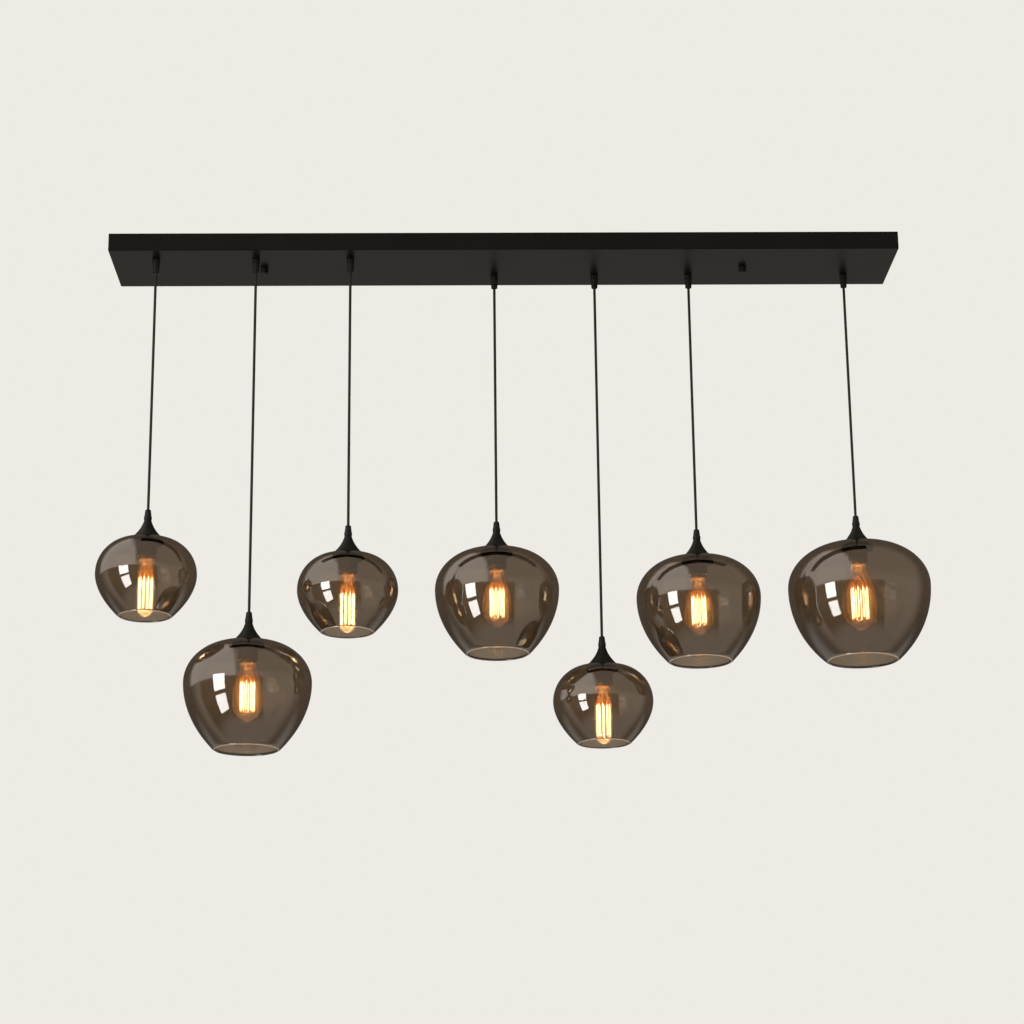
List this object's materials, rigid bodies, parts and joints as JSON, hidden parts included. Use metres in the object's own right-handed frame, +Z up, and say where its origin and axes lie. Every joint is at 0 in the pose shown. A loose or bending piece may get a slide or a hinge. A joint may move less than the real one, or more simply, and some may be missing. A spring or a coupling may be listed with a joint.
{
  "type": "linear globe pendant light",
  "caption": "Long flat black ceiling canopy with a staggered row of smoked glass apple-shaped globes on thin black cords, each over a warm cage-filament bulb.",
  "frame": {"origin": "on the ceiling, at the middle of the bracket's upper face and of the canopy", "axes": "+X along the canopy to the right, +Y from front to back, +Z up to the ceiling"},
  "size_m": [1.347, 0.2925, 0.853],
  "materials": {
    "canopy_black": "satin",
    "nut_black": "satin",
    "cap_black": "matt",
    "grip_black": "matt",
    "cord_black": "matt",
    "holder_black": "satin",
    "smoked_glass": "polished",
    "bulb_clear": "polished",
    "bulb_brass": "satin",
    "terminal_brass": "satin",
    "zinc_steel": "zinc plated",
    "block_white": "moulded",
    "comb_nylon": "moulded"
  },
  "bodies": {
    "canopy": {"canopy_tray": "canopy_black", "ceiling_bracket": "zinc_steel", "fixing_studs": "zinc_steel", "fixing_nuts": "nut_black", "canopy_grips": "grip_black", "grip_locknuts": "zinc_steel", "cord_tails": "cord_black", "cable_combs": "comb_nylon", "terminal_block": "block_white", "terminal_screws": "terminal_brass", "earth_post": "terminal_brass"},
    "hanging_cord_1": {"cord_1": "cord_black"},
    "pendant_1": {"cap_grip_1": "grip_black", "cap_1": "cap_black", "shade_1": "smoked_glass", "lampholder_1": "holder_black"},
    "bulb_1": {"bulb_glass_1": "bulb_clear", "bulb_base_1": "bulb_brass"},
    "hanging_cord_2": {"cord_2": "cord_black"},
    "pendant_2": {"cap_grip_2": "grip_black", "cap_2": "cap_black", "shade_2": "smoked_glass", "lampholder_2": "holder_black"},
    "bulb_2": {"bulb_glass_2": "bulb_clear", "bulb_base_2": "bulb_brass"},
    "hanging_cord_3": {"cord_3": "cord_black"},
    "pendant_3": {"cap_grip_3": "grip_black", "cap_3": "cap_black", "shade_3": "smoked_glass", "lampholder_3": "holder_black"},
    "bulb_3": {"bulb_glass_3": "bulb_clear", "bulb_base_3": "bulb_brass"},
    "hanging_cord_4": {"cord_4": "cord_black"},
    "pendant_4": {"cap_grip_4": "grip_black", "cap_4": "cap_black", "shade_4": "smoked_glass", "lampholder_4": "holder_black"},
    "bulb_4": {"bulb_glass_4": "bulb_clear", "bulb_base_4": "bulb_brass"},
    "hanging_cord_5": {"cord_5": "cord_black"},
    "pendant_5": {"cap_grip_5": "grip_black", "cap_5": "cap_black", "shade_5": "smoked_glass", "lampholder_5": "holder_black"},
    "bulb_5": {"bulb_glass_5": "bulb_clear", "bulb_base_5": "bulb_brass"},
    "hanging_cord_6": {"cord_6": "cord_black"},
    "pendant_6": {"cap_grip_6": "grip_black", "cap_6": "cap_black", "shade_6": "smoked_glass", "lampholder_6": "holder_black"},
    "bulb_6": {"bulb_glass_6": "bulb_clear", "bulb_base_6": "bulb_brass"},
    "hanging_cord_7": {"cord_7": "cord_black"},
    "pendant_7": {"cap_grip_7": "grip_black", "cap_7": "cap_black", "shade_7": "smoked_glass", "lampholder_7": "holder_black"},
    "bulb_7": {"bulb_glass_7": "bulb_clear", "bulb_base_7": "bulb_brass"}
  },
  "joints": [
    {"name": "cord_1_swing", "type": "hinge", "parent": "canopy", "child": "hanging_cord_1", "pos_m": [-0.576, -0.038, -0.05], "axis": [1, 0, 0], "range_deg": [-30, 30]},
    {"name": "shade_1_tilt", "type": "hinge", "parent": "hanging_cord_1", "child": "pendant_1", "pos_m": [-0.576, -0.038, -0.463], "axis": [0, 1, 0], "range_deg": [-5, 5]},
    {"name": "bulb_1_out", "type": "slide", "parent": "pendant_1", "child": "bulb_1", "axis": [0, 0, -1], "range_m": [0, 0.132]},
    {"name": "cord_2_swing", "type": "hinge", "parent": "canopy", "child": "hanging_cord_2", "pos_m": [-0.411, -0.038, -0.05], "axis": [1, 0, 0], "range_deg": [-30, 30]},
    {"name": "shade_2_tilt", "type": "hinge", "parent": "hanging_cord_2", "child": "pendant_2", "pos_m": [-0.411, -0.038, -0.633], "axis": [0, 1, 0], "range_deg": [-5, 5]},
    {"name": "bulb_2_out", "type": "slide", "parent": "pendant_2", "child": "bulb_2", "axis": [0, 0, -1], "range_m": [0, 0.18]},
    {"name": "cord_3_swing", "type": "hinge", "parent": "canopy", "child": "hanging_cord_3", "pos_m": [-0.255, -0.038, -0.05], "axis": [1, 0, 0], "range_deg": [-30, 30]},
    {"name": "shade_3_tilt", "type": "hinge", "parent": "hanging_cord_3", "child": "pendant_3", "pos_m": [-0.255, -0.038, -0.491], "axis": [0, 1, 0], "range_deg": [-5, 5]},
    {"name": "bulb_3_out", "type": "slide", "parent": "pendant_3", "child": "bulb_3", "axis": [0, 0, -1], "range_m": [0, 0.132]},
    {"name": "cord_4_swing", "type": "hinge", "parent": "canopy", "child": "hanging_cord_4", "pos_m": [-0.016, 0.038, -0.05], "axis": [1, 0, 0], "range_deg": [-30, 30]},
    {"name": "shade_4_tilt", "type": "hinge", "parent": "hanging_cord_4", "child": "pendant_4", "pos_m": [-0.016, 0.038, -0.464], "axis": [0, 1, 0], "range_deg": [-5, 5]},
    {"name": "bulb_4_out", "type": "slide", "parent": "pendant_4", "child": "bulb_4", "axis": [0, 0, -1], "range_m": [0, 0.18]},
    {"name": "cord_5_swing", "type": "hinge", "parent": "canopy", "child": "hanging_cord_5", "pos_m": [0.153, 0.038, -0.05], "axis": [1, 0, 0], "range_deg": [-30, 30]},
    {"name": "shade_5_tilt", "type": "hinge", "parent": "hanging_cord_5", "child": "pendant_5", "pos_m": [0.153, 0.038, -0.658], "axis": [0, 1, 0], "range_deg": [-5, 5]},
    {"name": "bulb_5_out", "type": "slide", "parent": "pendant_5", "child": "bulb_5", "axis": [0, 0, -1], "range_m": [0, 0.132]},
    {"name": "cord_6_swing", "type": "hinge", "parent": "canopy", "child": "hanging_cord_6", "pos_m": [0.312, 0.038, -0.05], "axis": [1, 0, 0], "range_deg": [-30, 30]},
    {"name": "shade_6_tilt", "type": "hinge", "parent": "hanging_cord_6", "child": "pendant_6", "pos_m": [0.312, 0.038, -0.479], "axis": [0, 1, 0], "range_deg": [-5, 5]},
    {"name": "bulb_6_out", "type": "slide", "parent": "pendant_6", "child": "bulb_6", "axis": [0, 0, -1], "range_m": [0, 0.18]},
    {"name": "cord_7_swing", "type": "hinge", "parent": "canopy", "child": "hanging_cord_7", "pos_m": [0.575, 0.038, -0.05], "axis": [1, 0, 0], "range_deg": [-30, 30]},
    {"name": "shade_7_tilt", "type": "hinge", "parent": "hanging_cord_7", "child": "pendant_7", "pos_m": [0.575, 0.038, -0.457], "axis": [0, 1, 0], "range_deg": [-5, 5]},
    {"name": "bulb_7_out", "type": "slide", "parent": "pendant_7", "child": "bulb_7", "axis": [0, 0, -1], "range_m": [0, 0.201]}
  ]
}
